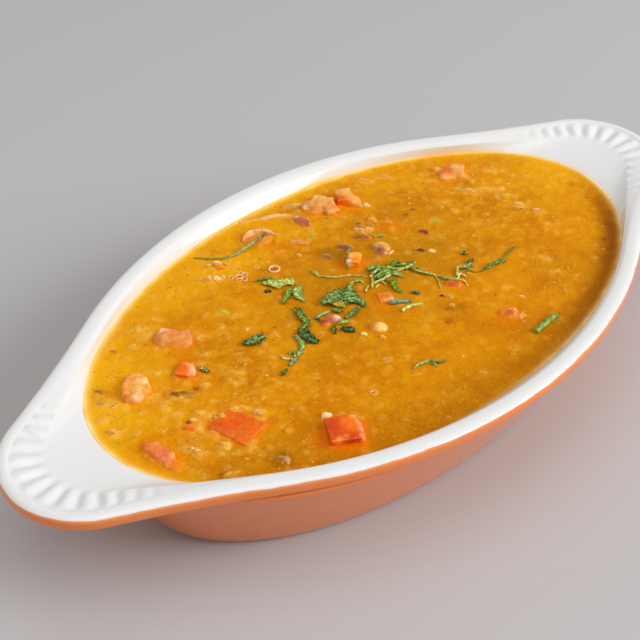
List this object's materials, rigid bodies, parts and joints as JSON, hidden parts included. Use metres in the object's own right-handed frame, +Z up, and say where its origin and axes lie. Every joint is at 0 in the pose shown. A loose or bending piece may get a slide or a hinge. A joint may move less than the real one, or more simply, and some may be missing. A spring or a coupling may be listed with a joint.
{
  "type": "dal tadka in an eared oval dish",
  "caption": "Yellow lentil stew with diced vegetables and beans, filling an oval gratin dish, white inside and terracotta outside, with a fluted ear at each end.",
  "frame": {"origin": "centre of the dish's flat base, on the surface that it stands on", "axes": "+X along the dish, from ear to ear; +Y across it; +Z up"},
  "size_m": [0.28, 0.1428, 0.045],
  "materials": {
    "white_glaze": "gloss",
    "dal": "gloss",
    "carrot": "satin",
    "tomato": "satin",
    "bean": "satin",
    "chickpea": "satin",
    "onion": "satin"
  },
  "bodies": {
    "root": {"dish": "white_glaze", "dal": "dal", "carrot_front": "carrot", "carrot_wedge": "carrot", "carrot_back": "carrot", "carrot_top": "carrot", "carrot_far": "carrot", "carrot_small": "carrot", "carrot_middle": "carrot", "carrot_centre": "carrot", "tomato_long": "tomato", "tomato_left": "tomato", "tomato_pale": "tomato", "tomato_top": "tomato", "tomato_right": "tomato", "tomato_centre": "tomato", "bean_red": "bean", "bean_brown": "bean", "bean_pink": "bean", "chickpea": "chickpea", "onion_strip": "onion"}
  },
  "joints": []
}
